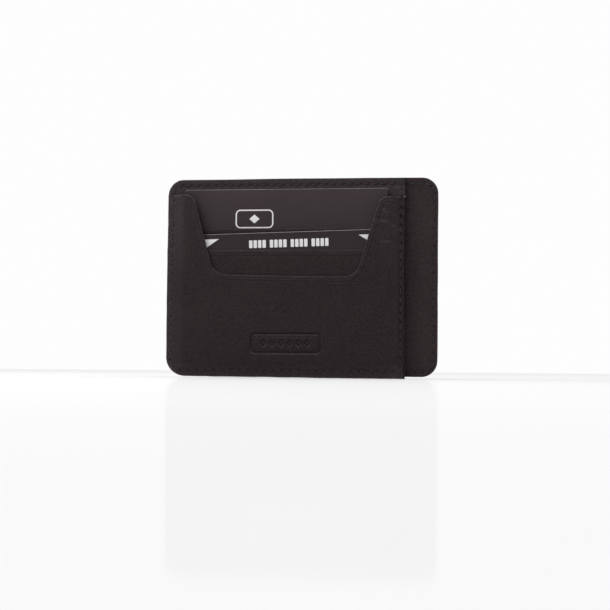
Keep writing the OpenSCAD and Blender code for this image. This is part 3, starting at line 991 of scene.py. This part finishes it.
def tilted(foot, tilt):
    """The place of a point given from the middle of a card's foot."""
    c, s = math.cos(tilt), math.sin(tilt)
    return lambda x, z: (foot[0] + x * c - z * s, foot[1] + x * s + z * c)


def card_places():
    """Where points of each card lie, the lower one tilted in its slot."""
    upper_low, upper_high = box_mm("upper_card")
    lower_low, lower_high = box_mm("lower_card")
    reach = CARD_W / 2 * math.cos(TILT)
    upper = tilted(((upper_low[0] + upper_high[0]) / 2, upper_low[2]), 0.0)
    lower = tilted((lower_high[0] - reach, lower_low[2] + CARD_W / 2 * math.sin(TILT)), TILT)
    return {"upper_card": upper, "lower_card": lower}


def make_card(node, place, finish):
    """A card whose top edge shows its pale core, brightened as a painted highlight."""
    low, high = levels(node)
    outline = Outline([(*place(x, z), CARD_R) for x, z in (
        (-CARD_W / 2, 0), (CARD_W / 2, 0), (CARD_W / 2, CARD_H), (-CARD_W / 2, CARD_H))], 0.5)
    starts = np.cumsum([0] + [a + r for a, r in zip(outline.arcs, outline.runs)])
    top_edge = range(starts[2], starts[3] + outline.arcs[3])
    sheet(f"{node}_stock", outline, flat(low), flat(high), node, "card", finish, [node],
          rings=(0.35,), step=6, back_rings=(0.35,), back_step=6, pale=top_edge)


def prints(name, node, place, outlines):
    """Thin printed shapes on the front of a card: closed outlines, or a ring from two of them."""
    level = levels(node)[1]
    verts, faces = [], []
    for shape in outlines:
        rings = [np.stack(place(*np.array(r, float).T), 1)
                 for r in (shape if isinstance(shape, tuple) else (shape,))]
        n, start = len(rings[0]), len(verts)
        for high in (0.018, -0.01):
            for r in rings:
                verts += np.stack([r[:, 0], np.full(n, level + high), r[:, 1]], 1).tolist()
        i = np.arange(n)
        j = (i + 1) % n
        if len(rings) == 1:
            faces += [(start + i).tolist(), (start + n + i[::-1]).tolist()]
            faces += np.stack([start + j, start + i, start + n + i, start + n + j], 1).tolist()
        else:
            top, hole, under, hole_under = (start + n * k for k in range(4))
            faces += np.stack([top + i, top + j, hole + j, hole + i], 1).tolist()
            faces += np.stack([under + j, under + i, hole_under + i, hole_under + j], 1).tolist()
            faces += np.stack([top + j, top + i, under + i, under + j], 1).tolist()
            faces += np.stack([hole + i, hole + j, hole_under + j, hole_under + i], 1).tolist()
    piece = add_piece(name, verts, faces, node, (), [PRINT])
    piece.data.polygons.foreach_set("use_smooth", np.zeros(len(piece.data.polygons), bool))


def make_prints(places):
    """A plain rounded square with a lozenge, and on the lower card blocks between triangles."""
    line, cx, cz, half = 0.5, -12.1, 38.6, 3.6
    outer = box_outline(cx - 7.4, cz - half, cx + 7.4, cz + half, 1.9, 0.4)
    lozenge = [(cx, cz - 1.7), (cx + 2.0, cz), (cx, cz + 1.7), (cx - 2.0, cz)]
    frame_and_lozenge = [(outer.ring(), outer.ring(line)), lozenge]
    prints("upper_card_mark", "upper_card", places["upper_card"], frame_and_lozenge)
    block_w, gap, group_gap, high, foot = 1.32, 0.42, 1.55, 3.0, 44.2
    group = 4 * block_w + 3 * gap
    start = 1.5 - (4 * group + 3 * group_gap) / 2
    shapes = []
    for k in range(16):
        x = start + (k // 4) * (group + group_gap) + (k % 4) * (block_w + gap)
        shapes.append(box_outline(x, foot, x + block_w, foot + high, 0.3, 0.2).ring())
    slope = math.tan(math.radians(32.5))
    reach, level = 8.0, 48.1
    for side, apex in ((-1, -25.7), (1, 28.5)):
        tip, end = (apex, level), (apex + side * reach, level)
        low = (apex + side * reach, level - reach * slope)
        shapes.append([tip, low, end] if side > 0 else [tip, end, low])
    prints("lower_card_print", "lower_card", places["lower_card"], shapes)


# ---------------------------------------------------------------- floor, light and camera


def make_floor():
    """A pale floor, polished near the holder."""
    g = Graph("studio_floor")
    where = g.place()
    tint = g.noise(where, 1.5, 2.0)
    diffuse = g.node("BsdfDiffuse", {"Color": g.mix(tint, (0.95, 0.945, 0.95), (0.96, 0.955, 0.96))})
    gloss = g.node("BsdfGlossy", {"Color": (1, 1, 1, 1), "Roughness": 0.05})
    away = g.node("VectorMath", {0: where}, operation="LENGTH").outputs["Value"]
    polish = g.spread(away, 0.1, 0.5, 0.25, 0.07)
    mixed = g.node("MixShader", {"Fac": polish, 1: diffuse.outputs[0], 2: gloss.outputs[0]})
    g.node("OutputMaterial", {"Surface": mixed.outputs[0]})
    size, near = 6.0, -0.9
    mesh = bpy.data.meshes.new("floor")
    low = CAD_BOUNDS[0][2]
    mesh.from_pydata([(-size, near, low), (size, near, low), (size, size, low), (-size, size, low)],
                     [], [(0, 1, 2, 3)])
    mesh.materials.append(g.material)
    floor = bpy.data.objects.new("floor", mesh)
    bpy.context.scene.collection.objects.link(floor)


SKY = {"all": 0.12, "top": 0.97, "behind": 0.5, "left": 0.3}
SOFTBOX = 1.35


def make_light():
    """A soft sky that is brightest above, one large lamp at the upper left, and a white backdrop."""
    scene = bpy.context.scene
    world = bpy.data.worlds.new("studio")
    scene.world = world
    world.use_nodes = True
    tree = world.node_tree
    tree.nodes.clear()

    def node(kind, values=(), **settings):
        made = tree.nodes.new("ShaderNode" + kind)
        for k, v in settings.items():
            setattr(made, k, v)
        for socket, v in zip(made.inputs, values):
            plug(tree, socket, v)
        return made.outputs

    def add(a, b):
        return node("Math", (a, b), operation="ADD")[0]

    def share(value, most):
        """most times the positive part of a value."""
        positive = node("Math", (value, 0.0), operation="MAXIMUM")[0]
        return node("Math", (positive, most), operation="MULTIPLY")[0]

    way = node("SeparateXYZ", (node("TexCoord")["Generated"],))
    left = node("Math", (way[0], -1.0), operation="MULTIPLY")[0]
    glow = add(share(way[2], SKY["top"]), share(way[1], SKY["behind"]))
    glow = add(glow, add(share(left, SKY["left"]), SKY["all"]))
    lit = node("Background", ((1, 1, 1, 1), glow))[0]
    seen = node("Background", ((0.985, 0.985, 0.99, 1), 1.0))[0]
    both = node("MixShader", (node("LightPath")["Is Camera Ray"], lit, seen))[0]
    node("OutputWorld", (both,))

    def area(name, place, target, size, power):
        data = bpy.data.lights.new(name, "AREA")
        data.shape, data.size, data.energy = "DISK", size, power
        lamp = bpy.data.objects.new(name, data)
        scene.collection.objects.link(lamp)
        lamp.location = place
        way = np.array(place) - np.array(target)
        lamp.rotation_mode = "QUATERNION"
        lamp.rotation_quaternion = Vector(way).to_track_quat("Z", "Y")

    area("softbox", (-0.42, -0.22, 0.5), (0, 0, 0.04), 0.22, SOFTBOX)
    scene.view_settings.view_transform = "Standard"


def make_camera():
    """Level with the foot of the holder and a little to its right, as it was photographed."""
    data = bpy.data.cameras.new("camera")
    data.sensor_width, data.lens = 36.0, 102.71
    data.clip_start, data.clip_end = 0.002, 20
    camera = bpy.data.objects.new("camera", data)
    bpy.context.scene.collection.objects.link(camera)
    right = np.array([0.98441, 0.17572, 0.00834])
    up = np.array([-0.00159, -0.03851, 0.99926])
    back = np.cross(right, up)
    place = np.array([118.76, -654.29 + BACK_Y - STRIP, 2.06 + FOOT]) * MM
    rows = [[right[k], up[k], back[k], place[k]] for k in range(3)]
    camera.matrix_world = Matrix(rows + [[0, 0, 0, 1]])
    bpy.context.scene.camera = camera


make_camera()
make_light()
make_floor()
make_back_panel()
make_lining()
make_base()
make_slot("upper", upper_under, UPPER_MOUTH, UPPER_SPLIT, 31)
make_slot("lower", lower_under, LOWER_MOUTH, LOWER_SPLIT, 32)
make_front()
make_front_lining()
make_all_stitches()
make_thread_end()
PLACES = card_places()
make_card("upper_card", PLACES["upper_card"], [CARD, CARD_EDGE])
make_card("lower_card", PLACES["lower_card"], [CARD_LOW, CARD_LOW_EDGE])
make_prints(PLACES)
